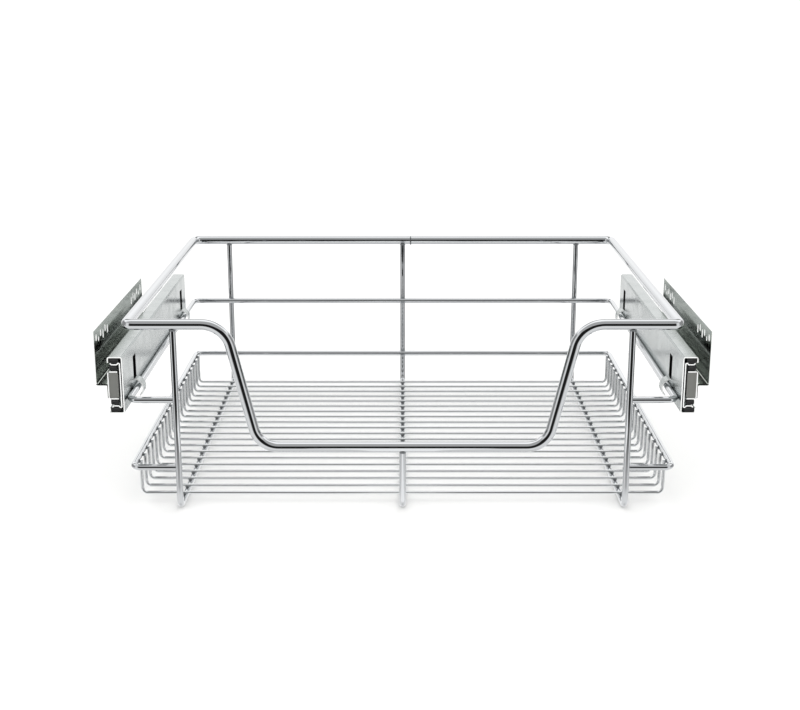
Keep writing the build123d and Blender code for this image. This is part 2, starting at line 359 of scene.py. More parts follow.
@material_named("chrome plate over weld metal")
def plated_weld(tree, finishes):
    """Chrome plate over squeezed out weld metal.

    The plate follows a rough, slightly burnt surface, so a weld looks darker and pitted.
    """
    place = add(tree, "ShaderNodeTexCoord")
    # weld spatter has grains about 0.6 mm across
    grain = add(
        tree, "ShaderNodeTexNoise", {}, {"Scale": 1600, "Detail": 3}, {"Vector": place.outputs["Object"]}
    )
    bump = add(
        tree, "ShaderNodeBump", {}, {"Strength": 0.6, "Distance": 0.0002}, {"Height": grain.outputs[0]}
    )
    return add(
        tree,
        "ShaderNodeBsdfPrincipled",
        {},
        {"Base Color": rgba(finishes.weld), "Metallic": 1, "Roughness": 0.24},
        {"Normal": bump.outputs[0]},
    )


@material_named("bright zinc plate on rolled steel strip")
def zinc_plate(tree, finishes):
    """Bright zinc plate on roll formed cold rolled strip.

    The rolls leave fine lines along the slide that spread its reflections crosswise, and the
    plate has small cloudy patches.
    """
    place = add(tree, "ShaderNodeTexCoord")
    # rolling lines are about 0.1 mm apart; they are drawn 0.6 mm apart so that they show
    stretch = add(
        tree,
        "ShaderNodeVectorMath",
        {"operation": "MULTIPLY"},
        {1: (1700, 12, 1700)},
        {0: place.outputs["Object"]},
    )
    lines = add(tree, "ShaderNodeTexNoise", {}, {"Scale": 1, "Detail": 3}, {"Vector": stretch.outputs[0]})
    # cloudy patches in the plate are about 15 mm across
    cloud = add(
        tree, "ShaderNodeTexNoise", {}, {"Scale": 65, "Detail": 5}, {"Vector": place.outputs["Object"]}
    )
    dull = add(
        tree,
        "ShaderNodeMapRange",
        {},
        {"From Min": 0.3, "From Max": 0.7, "To Min": 0.13, "To Max": 0.26},
        {"Value": cloud.outputs[0]},
    )
    bump = add(
        tree, "ShaderNodeBump", {}, {"Strength": 0.10, "Distance": 0.0001}, {"Height": lines.outputs[0]}
    )
    return add(
        tree,
        "ShaderNodeBsdfPrincipled",
        {},
        {"Base Color": rgba(finishes.zinc), "Metallic": 1},
        {"Roughness": dull.outputs[0], "Normal": bump.outputs[0]},
    )


@material_named("bright nickel plate on pressed steel sheet")
def nickel_plate(tree, finishes):
    """Bright nickel plate on pressed steel sheet.

    It mirrors what is round it like a slightly wavy mirror, because pressing leaves the sheet
    uneven over some 20 mm.
    """
    place = add(tree, "ShaderNodeTexCoord")
    waves = add(
        tree, "ShaderNodeTexNoise", {}, {"Scale": 50, "Detail": 1}, {"Vector": place.outputs["Object"]}
    )
    # hairline scratches are drawn 0.5 mm apart so that they show
    stretch = add(
        tree,
        "ShaderNodeVectorMath",
        {"operation": "MULTIPLY"},
        {1: (2000, 60, 900)},
        {0: place.outputs["Object"]},
    )
    scratches = add(
        tree, "ShaderNodeTexNoise", {}, {"Scale": 1, "Detail": 2}, {"Vector": stretch.outputs[0]}
    )
    uneven = add(
        tree, "ShaderNodeBump", {}, {"Strength": 0.1, "Distance": 0.0008}, {"Height": waves.outputs[0]}
    )
    bump = add(
        tree,
        "ShaderNodeBump",
        {},
        {"Strength": 0.012, "Distance": 0.0001},
        {"Height": scratches.outputs[0], "Normal": uneven.outputs[0]},
    )
    dull = add(
        tree,
        "ShaderNodeMapRange",
        {},
        {"From Min": 0.3, "From Max": 0.7, "To Min": 0.07, "To Max": 0.14},
        {"Value": scratches.outputs[0]},
    )
    return add(
        tree,
        "ShaderNodeBsdfPrincipled",
        {},
        {"Base Color": rgba(finishes.nickel), "Metallic": 1},
        {"Roughness": dull.outputs[0], "Normal": bump.outputs[0]},
    )


@material_named("plated edge of sheared sheet")
def sheared_edge(tree, finishes):
    """Plated edge of sheared and punched sheet.

    The punch tears the lower part of the cut, so the plate over it is rough and scatters light
    almost like chalk: cut ends and slot walls look pale beside faces that mirror something dark.
    """
    place = add(tree, "ShaderNodeTexCoord")
    # torn grains are about 0.1 mm across; they are drawn at 0.4 mm so that they show
    grain = add(
        tree, "ShaderNodeTexNoise", {}, {"Scale": 2500, "Detail": 2}, {"Vector": place.outputs["Object"]}
    )
    bump = add(
        tree, "ShaderNodeBump", {}, {"Strength": 0.3, "Distance": 0.0001}, {"Height": grain.outputs[0]}
    )
    return add(
        tree,
        "ShaderNodeBsdfPrincipled",
        {},
        {"Base Color": rgba(finishes.sheared), "Metallic": 0.1, "Roughness": 0.6},
        {"Normal": bump.outputs[0]},
    )


@material_named("zinc plate with painted shade behind the hook slots")
def painted_slot_shade_plate(tree, finishes):
    """Zinc plate with black painted shade, on the middle rail's face towards the hook slots.

    Behind the hook slots, and on their walls, the plate is painted near black as painted shade that
    scatters almost no light, so the slots look black. Away from them the plate stays bright, with thin
    smears.
    """
    place = add(tree, "ShaderNodeTexCoord")
    # the balls drag the grease into smears about 30 mm long and 2 mm wide
    stretch = add(
        tree,
        "ShaderNodeVectorMath",
        {"operation": "MULTIPLY"},
        {1: (500, 33, 500)},
        {0: place.outputs["Object"]},
    )
    smears = add(
        tree, "ShaderNodeTexNoise", {}, {"Scale": 1, "Detail": 3}, {"Vector": stretch.outputs[0]}
    )
    # the painted shade has lobes about 8 mm across, and its edge falls back between them
    lobes = add(
        tree, "ShaderNodeTexNoise", {}, {"Scale": 120, "Detail": 2}, {"Vector": place.outputs["Object"]}
    )
    reach = add(
        tree,
        "ShaderNodeMapRange",
        {},
        {"From Min": 0.3, "From Max": 0.7, "To Min": 0, "To Max": PAINTED_SHADE_LOBES},
        {"Value": lobes.outputs[0]},
    )
    painted_shade_masks = []
    for along in HOOK_PLACES:
        away = add(
            tree,
            "ShaderNodeVectorMath",
            {"operation": "SUBTRACT"},
            {1: (0, along + PAINTED_SHADE_BEHIND, HOOK_SLOT_LEVEL)},
            {0: place.outputs["Object"]},
        )
        away = add(tree, "ShaderNodeVectorMath", {"operation": "ABSOLUTE"}, {}, {0: away.outputs[0]})
        split = add(tree, "ShaderNodeSeparateXYZ", {}, {}, {0: away.outputs[0]})
        furthest = add(
            tree,
            "ShaderNodeMath",
            {"operation": "MAXIMUM"},
            {},
            {0: split.outputs["Y"], 1: split.outputs["Z"]},
        )
        ragged = add(
            tree,
            "ShaderNodeMath",
            {"operation": "ADD"},
            {},
            {0: furthest.outputs[0], 1: reach.outputs[0]},
        )
        near = add(
            tree,
            "ShaderNodeMapRange",
            {"interpolation_type": "SMOOTHSTEP"},
            {
                "From Min": PAINTED_SHADE_REACH - PAINTED_SHADE_SOFT,
                "From Max": PAINTED_SHADE_REACH + PAINTED_SHADE_SOFT,
                "To Min": 1,
                "To Max": 0,
            },
            {"Value": ragged.outputs[0]},
        )
        painted_shade_masks.append(near.outputs[0])
    in_painted_shade = add(tree, "ShaderNodeMath", {"operation": "MAXIMUM"}, {}, dict(enumerate(painted_shade_masks)))
    dull = add(
        tree,
        "ShaderNodeMapRange",
        {},
        {"From Min": 0.35, "From Max": 0.65, "To Min": 0.16, "To Max": 0.36},
        {"Value": smears.outputs[0]},
    )
    plate = add(
        tree,
        "ShaderNodeBsdfPrincipled",
        {},
        {"Base Color": rgba(finishes.zinc), "Metallic": 1},
        {"Roughness": dull.outputs[0]},
    )
    # painted shade: near black and dull, for the slots and the web behind them, which only lie in shade
    grease_and_painted_shade = add(
        tree,
        "ShaderNodeBsdfPrincipled",
        {},
        {"Base Color": rgba(finishes.grease_and_painted_shade), "Roughness": 0.8, "IOR": 1.48, "Specular IOR Level": 0.05},
    )
    return add(
        tree,
        "ShaderNodeMixShader",
        {},
        {},
        {0: in_painted_shade.outputs[0], 1: plate.outputs[0], 2: grease_and_painted_shade.outputs[0]},
    )


@material_named("polished bearing steel")
def bearing_steel(tree, finishes):
    """Ground and polished bearing steel.

    The balls are small sharp mirrors under a thin film of grease, which dulls them in spots.
    """
    place = add(tree, "ShaderNodeTexCoord")
    # grease lies in spots about 2 mm across
    grease_and_painted_shade = add(
        tree, "ShaderNodeTexNoise", {}, {"Scale": 500, "Detail": 2}, {"Vector": place.outputs["Object"]}
    )
    dull = add(
        tree,
        "ShaderNodeMapRange",
        {},
        {"From Min": 0.4, "From Max": 0.6, "To Min": 0.03, "To Max": 0.2},
        {"Value": grease_and_painted_shade.outputs[0]},
    )
    return add(
        tree,
        "ShaderNodeBsdfPrincipled",
        {},
        {"Base Color": rgba(finishes.bearing), "Metallic": 1},
        {"Roughness": dull.outputs[0]},
    )


def moulded_polyamide(tree, colour_value, roughness):
    """Injection moulded polyamide.

    The mould's fine spark finish gives a dull sheen with a slight grain.
    """
    place = add(tree, "ShaderNodeTexCoord")
    # spark grain is about 0.05 mm across; it is drawn at 0.3 mm so that it shows
    grain = add(
        tree, "ShaderNodeTexNoise", {}, {"Scale": 3300, "Detail": 2}, {"Vector": place.outputs["Object"]}
    )
    bump = add(
        tree, "ShaderNodeBump", {}, {"Strength": 0.25, "Distance": 0.0001}, {"Height": grain.outputs[0]}
    )
    return add(
        tree,
        "ShaderNodeBsdfPrincipled",
        {},
        {"Base Color": rgba(colour_value), "Roughness": roughness, "IOR": 1.53},
        {"Normal": bump.outputs[0]},
    )


@material_named("black moulded polyamide")
def black_polyamide(tree, finishes):
    """Black polyamide of the stops and race plugs, which keeps a little more sheen."""
    return moulded_polyamide(tree, finishes.black_plastic, 0.42)


@material_named("grey moulded polyamide")
def grey_polyamide(tree, finishes):
    """Grey polyamide of the end blocks, whose sheen is duller."""
    return moulded_polyamide(tree, finishes.grey_plastic, 0.5)


@material_named("matt rolled paint")
def painted_floor(tree, finishes):
    """Matt emulsion paint, rolled on.

    Its even, very slightly grained surface takes soft shadows and shows no reflections.
    """
    place = add(tree, "ShaderNodeTexCoord")
    # roller stipple is about 2 mm across
    stipple = add(
        tree, "ShaderNodeTexNoise", {}, {"Scale": 500, "Detail": 2}, {"Vector": place.outputs["Object"]}
    )
    bump = add(
        tree, "ShaderNodeBump", {}, {"Strength": 0.02, "Distance": 0.001}, {"Height": stipple.outputs[0]}
    )
    return add(
        tree,
        "ShaderNodeBsdfPrincipled",
        {},
        {"Base Color": rgba(finishes.floor), "Roughness": 0.9},
        {"Normal": bump.outputs[0]},
    )


@material_named("lit white paper")
def lit_card(tree, studio):
    """Matt white paper card, lit evenly from in front, so that metal mirrors it as plain white."""
    return add(tree, "ShaderNodeEmission", {}, {"Color": (1, 1, 1, 1), "Strength": studio.card})


def studio_room(studio):
    """White studio round the basket, with a dark opening where the camera and its operator stand.

    Diffuse surfaces are lit by plain white. The mirrored room has a bright back, a grey ceiling
    over the camera, grey screens at both sides and high at the back, and the dark opening. They
    draw the light and dark lines along each wire.
    """
    world = bpy.data.worlds.new("white studio")
    world.use_nodes = True
    tree = world.node_tree
    tree.nodes.clear()
    way = add(tree, "ShaderNodeTexCoord")
    split = add(tree, "ShaderNodeSeparateXYZ", {}, {}, {0: way.outputs["Generated"]})
    ahead = add(tree, "ShaderNodeMath", {"operation": "MULTIPLY"}, {1: -1}, {0: split.outputs["Y"]})
    turn = add(
        tree, "ShaderNodeMath", {"operation": "ARCTAN2"}, {}, {0: split.outputs["X"], 1: ahead.outputs[0]}
    )
    off = add(tree, "ShaderNodeMath", {"operation": "ABSOLUTE"}, {}, {0: turn.outputs[0]})
    rise = add(tree, "ShaderNodeMath", {"operation": "ARCSINE"}, {}, {0: split.outputs["Z"]})

    wall = add(tree, "ShaderNodeValue")
    wall.outputs[0].default_value = studio.wall
    room = wall.outputs[0]
    # Patches are painted one over another. Each has a brightness and its edges: the angle off from
    # the basket's front or up from level, where the patch starts and where it is full, in degrees.
    back = (studio.back_light, ((off, 75, 120), (rise, 5, 30)))
    under = (studio.under, ((rise, -55, -80),))
    ceiling = (studio.ceiling, ((off, 100, 70), (rise, 28, 36), (rise, 84, 72)))
    sides = (studio.screens, ((off, 66, 80), (off, 140, 124), (rise, -24, -17), (rise, 33, 25)))
    rear = (studio.screens, ((off, 126, 142), (rise, 24, 30), (rise, 54, 46)))
    opening = (studio.opening, ((off, 50, 37), (rise, -24, -17), (rise, 33, 25)))
    for brightness, edges in (back, under, ceiling, sides, rear, opening):
        cover = None
        for angle, start, full in edges:
            edge = add(
                tree,
                "ShaderNodeMapRange",
                {"interpolation_type": "SMOOTHSTEP"},
                {
                    "From Min": math.radians(min(start, full)),
                    "From Max": math.radians(max(start, full)),
                    "To Min": float(start > full),
                    "To Max": float(start < full),
                },
                {"Value": angle.outputs[0]},
            )
            if cover is not None:
                edge = add(
                    tree,
                    "ShaderNodeMath",
                    {"operation": "MULTIPLY"},
                    {},
                    {0: cover.outputs[0], 1: edge.outputs[0]},
                )
            cover = edge
        painted = add(
            tree, "ShaderNodeMix", {"data_type": "FLOAT"}, {3: brightness}, {0: cover.outputs[0], 2: room}
        )
        room = painted.outputs[0]

    mirrored = add(tree, "ShaderNodeBackground", {}, {}, {"Color": room})
    plain = add(tree, "ShaderNodeBackground", {}, {"Color": (1, 1, 1, 1), "Strength": studio.fill})
    seen = add(tree, "ShaderNodeLightPath")
    both = add(
        tree,
        "ShaderNodeMixShader",
        {},
        {},
        {0: seen.outputs["Is Glossy Ray"], 1: plain.outputs[0], 2: mirrored.outputs[0]},
    )
    add(tree, "ShaderNodeOutputWorld", {}, {}, {"Surface": both.outputs[0]})
    return world


# ---- shared ways of making a piece ---------------------------------------------------------
def place_piece(name, mesh, body, materials, replaced=()):
    """Links a mesh as one piece of the object, riding on its CAD body."""
    piece = bpy.data.objects.new(name, mesh)
    bpy.context.scene.collection.objects.link(piece)
    for material in materials:
        mesh.materials.append(material)
    mesh.shade_smooth()
    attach(piece, body)
    if replaced:
        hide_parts(*replaced)
    return piece


def bent_path(corners, bends, closed=False, step=math.radians(6)):
    """Points along straight runs joined by arcs, each with its radius on the wire's axis."""
    corners = [Vector(c) for c in corners]
    count = len(corners)
    points = []
    for i, corner in enumerate(corners):
        if not closed and i in (0, count - 1):
            points.append(corner)
            continue
        before = (corner - corners[i - 1]).normalized()
        after = (corners[(i + 1) % count] - corner).normalized()
        turn = before.angle(after)
        bend = bends[i]
        start = corner - before * bend * math.tan(turn / 2)
        inward = (after - before * before.dot(after)).normalized()
        steps = max(2, round(turn / step))
        for k in range(steps + 1):
            angle = turn * k / steps
            across, along = bend * (1 - math.cos(angle)), bend * math.sin(angle)
            points.append(start + inward * across + before * along)
    return points


def spaced(points, spacing, closed=False):
    """The same path with further points on its long straight runs."""
    ends = points[1:] + points[:1] if closed else points[1:]
    made = []
    for start, end in zip(points, ends):
        count = max(1, round((end - start).length / spacing))
        made += [start.lerp(end, k / count) for k in range(count)]
    return made if closed else made + [points[-1]]


def wavered(points, waver, seed):
    """The same path, straying a little from its line, as drawn and straightened wire does.

    Each seed reads another part of the noise, so no two wires stray alike.
    """
    away = Vector((seed * 3.7, seed * 1.3, seed * 2.1))
    return [point + noise.noise_vector(point * WAVES + away) * waver for point in points]


def tube_mesh(name, points, radius, sides, cut_round=0.0, closed=False):
    """Round wire along a path, with rounded cut ends and a map of metres along and round it."""
    count = len(points)
    tangents = []
    for i in range(count):
        before = points[i - 1] if closed or i else points[i]
        after = points[(i + 1) % count] if closed or i < count - 1 else points[i]
        tangents.append((after - before).normalized())
    normal = tangents[0].orthogonal().normalized()
    rings = []
    normals = []
    for i, (point, tangent) in enumerate(zip(points, tangents)):
        if i:
            normal = (normal - tangent * normal.dot(tangent)).normalized()
        normals.append(normal)
        rings.append((point, tangent, radius))
    if cut_round:
        # the ring at each cut end becomes four, which round it over nearly to its flat
        for end, outward in ((0, -1), (-1, 1)):
            point, tangent, _ = rings[end]
            caps = []
            for angle in (0, 30, 60, 85):
                turn = math.radians(angle)
                sink = cut_round * (1 - math.sin(turn))
                inset = cut_round * (1 - math.cos(turn))
                caps.append((point - tangent * outward * sink, tangent, radius - inset))
            if end:
                rings[-1:] = caps
                normals[-1:] = [normals[-1]] * len(caps)
            else:
                rings[:1] = caps[::-1]
                normals[:1] = [normals[0]] * len(caps)
    twist = 0.0
    if closed:
        # the frame's leftover turn round a closed path is spread over its length
        last = (normals[-1] - tangents[0] * normals[-1].dot(tangents[0])).normalized()
        twist = math.atan2(last.cross(normals[0]).dot(tangents[0]), last.dot(normals[0]))
    shape = bmesh.new()
    uv = shape.loops.layers.uv.new("wire")
    rows = []
    along = [0.0]
    for i, ((point, tangent, ring_radius), start) in enumerate(zip(rings, normals)):
        side = tangent.cross(start)
        turned = twist * i / len(rings)
        row = []
        for k in range(sides):
            angle = 2 * math.pi * k / sides + turned
            outward = start * math.cos(angle) + side * math.sin(angle)
            row.append(shape.verts.new(point + outward * ring_radius))
        rows.append(row)
        if i:
            along.append(along[-1] + (point - rings[i - 1][0]).length)
    if closed:
        along.append(along[-1] + (rings[0][0] - rings[-1][0]).length)
        rows.append(rows[0])
    girth = 2 * math.pi * radius / sides
    for i in range(len(rows) - 1):
        for k in range(sides):
            n = (k + 1) % sides
            face = shape.faces.new((rows[i][k], rows[i][n], rows[i + 1][n], rows[i + 1][k]))
            marks = ((i, k), (i, k + 1), (i + 1, k + 1), (i + 1, k))
            for loop, (r, c) in zip(face.loops, marks):
                loop[uv].uv = (along[r], c * girth)
    if not closed:
        # sharp edges keep the flat of a cut end from tilting the light on the wire beside it
        for cap in (shape.faces.new(rows[0][::-1]), shape.faces.new(rows[-1])):
            for edge in cap.edges:
                edge.smooth = False
    bmesh.ops.recalc_face_normals(shape, faces=shape.faces)
    mesh = bpy.data.meshes.new(name)
    shape.to_mesh(mesh)
    shape.free()
    return mesh


def beads_mesh(name, spots, seed):
    """Lumps of squeezed out weld metal. Each spot is a place and the lump's three half sizes.

    A lump swells and shrinks by some 16 % over its whole and by some 6 % in its small bumps.
    """
    chance = random.Random(seed)
    shape = bmesh.new()
    for place, halves in spots:
        made = bmesh.ops.create_icosphere(shape, subdivisions=3, radius=1)["verts"]
        away = Vector((chance.random() * 50, chance.random() * 50, chance.random() * 50))
        for vert in made:
            swell = 1 + 0.16 * noise.noise(vert.co * 1.6 + away)
            swell += 0.06 * noise.noise(vert.co * 5 + away)
            vert.co = Vector(place) + Vector([c * h * swell for c, h in zip(vert.co, halves)])
    mesh = bpy.data.meshes.new(name)
    shape.to_mesh(mesh)
    shape.free()
    return mesh


def turned_mesh(name, profile, places, axis, sides=ROUND_SIDES):
    """Round pieces with one profile of (radius, height), turned about an axis at each place."""
    turn = Vector((0, 0, 1)).rotation_difference(Vector(axis)).to_matrix()
    shape = bmesh.new()
    for place in places:
        rows = []
        for radius, height in profile:
            row = []
            for k in range(sides):
                angle = 2 * math.pi * k / sides
                spot = Vector((radius * math.cos(angle), radius * math.sin(angle), height))
                row.append(shape.verts.new(Vector(place) + turn @ spot))
            rows.append(row)
        for low, high in zip(rows, rows[1:]):
            for k in range(sides):
                n = (k + 1) % sides
                shape.faces.new((low[k], low[n], high[n], high[k]))
        shape.faces.new(rows[0][::-1])
        shape.faces.new(rows[-1])
    bmesh.ops.recalc_face_normals(shape, faces=shape.faces)
    mesh = bpy.data.meshes.new(name)
    shape.to_mesh(mesh)
    shape.free()
    return mesh


def shade_evenly(piece):
    """Keeps the piece's large faces flat to the eye, and turns the light only in its roundings."""
    even = piece.modifiers.new("even shading", "WEIGHTED_NORMAL")
    even.weight = 100


def dress_node(node, material, edge_round=0, others=()):
    """Gives a CAD node its finish and rounded or crisp edges. The node stays as it was packed.

    Each of the others is a finish and the test of a face's middle and normal for where it goes.
    """
    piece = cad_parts[node]
    mesh = piece.data
    mesh.materials.clear()
    mesh.materials.append(material)
    if "custom_normal" in mesh.attributes:
        mesh.attributes.remove(mesh.attributes["custom_normal"])
    mesh.shade_smooth()
    for index, (other, covers) in enumerate(others, 1):
        mesh.materials.append(other)
        for face in mesh.polygons:
            if covers(face.center, face.normal):
                face.material_index = index
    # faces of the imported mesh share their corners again, so that the edges can be found
    joined = piece.modifiers.new("joined corners", "WELD")
    joined.merge_threshold = 0.00001
    if edge_round:
        rounded = piece.modifiers.new("rounded edges", "BEVEL")
        rounded.width = edge_round
        rounded.segments = 2
        rounded.limit_method = "ANGLE"
        rounded.angle_limit = math.radians(40)
    else:
        crisp = piece.modifiers.new("crisp edges", "EDGE_SPLIT")
        crisp.split_angle = math.radians(35)
    shade_evenly(piece)


def is_cut_end(centre, normal):
    """True for a face at the end of a rail."""
    return abs(normal.y) > 0.9


def hook_slots(face):
    """Test for the walls of a basket rail's hook slots, which get near black painted shade."""

    def is_hook_slot(centre, normal):
        """True for a face across the slide, near a hook and within the sheet of the web."""
        near = min(abs(centre.y - place) for place in HOOK_PLACES) < HOOK_SLOT_REACH
        return near and abs(normal.x) < 0.5 and 0 < abs(centre.x) - abs(face) < HOOK_SLOT_DEPTH

    return is_hook_slot


def is_hidden_web(centre, normal):
    """True for the face of a middle rail's web on the basket's side."""
    return normal.x * centre.x < 0 and abs(normal.x) > 0.9 and abs(centre.x) < HIDDEN_WEB


def is_punched(centre, normal):
    """True for a slot's wall or a cut edge of the bracket's wall plate."""
    return abs(centre.x) > PLATE_INSIDE and abs(normal.x) < 0.5


def ball_profile(radius, steps=12):
    """Profile of a ball from pole to pole, for turning."""
    angles = [math.pi * k / steps for k in range(1, steps)]
    return [(radius * math.sin(angle), -radius * math.cos(angle)) for angle in angles]


def rivet_profile(head, shank, crown, foot, steps=8):
    """Profile of a rivet from the foot of its shank to the top of its domed head, for turning."""
    profile = [(shank, -foot), (shank, -crown), (head, -crown)]
    for k in range(1, steps):
        angle = math.pi / 2 * k / steps
        profile.append((head * math.cos(angle), -crown * (1 - math.sin(angle))))
    # a tiny flat closes the dome
    profile.append((head * 0.08, 0))
    return profile


def rounded_plate(name, low, high, corner, lip, dish, steps=6):
    """Block from low to high. Its front has round corners, a rounded lip and a shallow dish."""
    shape = bmesh.new()
    middle_x, middle_z = (low[0] + high[0]) / 2, (low[2] + high[2]) / 2
    half_x, half_z = (high[0] - low[0]) / 2, (high[2] - low[2]) / 2

    def outline(inset, depth):
        """Points round the block at one depth, where its corners stay a little round."""
        radius = max(corner - inset, 0.0002)
        row = []
        for quarter, (sx, sz) in enumerate(((1, 1), (-1, 1), (-1, -1), (1, -1))):
            for k in range(steps + 1):
                angle = math.pi / 2 * (quarter + k / steps)
                x = middle_x + sx * (half_x - inset - radius) + radius * math.cos(angle)
                z = middle_z + sz * (half_z - inset - radius) + radius * math.sin(angle)
                row.append(shape.verts.new((x, depth, z)))
        return row

    rows = [outline(0, high[1])]
    for k in range(5):
        angle = math.pi / 2 * k / 4
        rows.append(outline(lip * (1 - math.cos(angle)), low[1] + lip * (1 - math.sin(angle))))
    # inside the rounded lip come a narrow flat and a narrower slope down to the dish
    rows.append(outline(lip * 1.8, low[1]))
    rows.append(outline(lip * 2.4, low[1] + dish))
    for near, far in zip(rows, rows[1:]):
        for k in range(len(near)):
            n = (k + 1) % len(near)
            shape.faces.new((near[k], near[n], far[n], far[k]))
    shape.faces.new(rows[0])
    shape.faces.new(rows[-1])
    bmesh.ops.recalc_face_normals(shape, faces=shape.faces)
    mesh = bpy.data.meshes.new(name)
    shape.to_mesh(mesh)
    shape.free()
    return mesh


def flat_sheet(name, corners, material):
    """One flat face of the stage, linked into the scene."""
    mesh = bpy.data.meshes.new(name)
    mesh.from_pydata(corners, [], [(0, 1, 2, 3)])
    mesh.materials.append(material)
    sheet = bpy.data.objects.new(name, mesh)
    bpy.context.scene.collection.objects.link(sheet)
    return sheet


# ---- operators, one for each piece or group of like pieces ---------------------------------
class BASKET_OT_top_rim(Operator):
    """Bends the round rod of the top rim, with the dip of the grab opening"""

    bl_idname = "basket.top_rim"
    bl_label = "Top rim"

    def execute(self, context):
        wires = context.scene.basket_wires
        chrome = chrome_plate(context.scene.basket_finishes)
        low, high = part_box("top_rim")
        half = wires.rim_wire / 2
        left, right, front, back = low.x + half, high.x - half, low.y + half, high.y - half
        top = high.z - half
        corners = [
            (left, back, top),
            (left, front, top),
            (-wires.dip_top_half, front, top),
            (-wires.dip_bottom_half, front, wires.dip_height),
            (wires.dip_bottom_half, front, wires.dip_height),
            (wires.dip_top_half, front, top),
            (right, front, top),
            (right, back, top),
        ]
        bends = [wires.rim_back_bend, wires.rim_front_bend, wires.dip_top_bend, wires.dip_bottom_bend]
        path = bent_path(corners, bends + bends[::-1], closed=True)
        path = spaced(path, WIRE_STEP, closed=True)
        mesh = tube_mesh("rim_rod", path, half, ROUND_SIDES, closed=True)
        place_piece("rim_rod", mesh, "basket", [chrome], ["top_rim"])
        return {"FINISHED"}


class BASKET_OT_rings(Operator):
    """Bends the middle ring and the tray ring"""

    bl_idname = "basket.rings"
    bl_label = "Rings"

    def execute(self, context):
        wires = context.scene.basket_wires
        chrome = chrome_plate(context.scene.basket_finishes)
        half = wires.ring_wire / 2
        stub = middle("hoop_right").x - STUB_PAST
        for seed, node in enumerate(("middle_ring", "tray_ring")):
            low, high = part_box(node)
            left, right, front, back = low.x + half, high.x - half, low.y + half, high.y - half
            level = (low.z + high.z) / 2
            corners = [
                (-stub, front, level),
                (left, front, level),
                (left, back, level),
                (right, back, level),
                (right, front, level),
                (stub, front, level),
            ]
            path = spaced(bent_path(corners, [wires.ring_bend] * 6), WIRE_STEP)
            path = wavered(path, wires.waver, seed + context.scene.basket_studio.seed)
            mesh = tube_mesh(node + "_wire", path, half, WIRE_SIDES, wires.cut_round)
            place_piece(node + "_wire", mesh, "basket", [chrome], [node])
        return {"FINISHED"}


class BASKET_OT_hoops(Operator):
    """Bends the three hoops, each a front post, a run under the floor and a back post"""

    bl_idname = "basket.hoops"
    bl_label = "Hoops"

    def execute(self, context):
        wires = context.scene.basket_wires
        chrome = chrome_plate(context.scene.basket_finishes)
        half = wires.ring_wire / 2
        rim_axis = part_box("top_rim")[1].z - wires.rim_wire / 2
        sink = wires.rim_wire / 2 - POST_SINK
        for node in HOOPS:
            low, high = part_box(node)
            across = (low.x + high.x) / 2
            front, back, level = low.y + half, high.y - half, low.z + half
            front_top = wires.dip_height if node == "hoop_centre" else rim_axis
            corners = [
                (across, front, front_top - sink),
                (across, front, level),
                (across, back, level),
                (across, back, rim_axis - sink),
            ]
            path = spaced(bent_path(corners, [wires.hoop_bend] * 4), WIRE_STEP)
            mesh = tube_mesh(node + "_wire", path, half, WIRE_SIDES)
            place_piece(node + "_wire", mesh, "basket", [chrome], [node])
        return {"FINISHED"}


class BASKET_OT_floor_wires(Operator):
    """Bends the floor wires, turned up at both ends inside the tray ring"""

    bl_idname = "basket.floor_wires"
    bl_label = "Floor wires"

    def execute(self, context):
        wires = context.scene.basket_wires
        chrome = dull_chrome_plate(context.scene.basket_finishes)
        half = wires.floor_wire / 2
        # the rings have the seeds before these
        first_seed = context.scene.basket_studio.seed + 10
        for seed, node in enumerate(floor_wire_nodes(), first_seed):
            low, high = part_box(node)
            along, level = (low.y + high.y) / 2, low.z + half
            corners = [
                (low.x + half, along, high.z),
                (low.x + half, along, level),
                (high.x - half, along, level),
                (high.x - half, along, high.z),
            ]
            path = spaced(bent_path(corners, [wires.floor_bend] * 4), FLOOR_WIRE_STEP)
            path = wavered(path, wires.waver, seed)
            name = node.replace("wire", "rod")
            mesh = tube_mesh(name, path, half, FLOOR_WIRE_SIDES, wires.cut_round)
            place_piece(name, mesh, "basket", [chrome], [node])
        return {"FINISHED"}


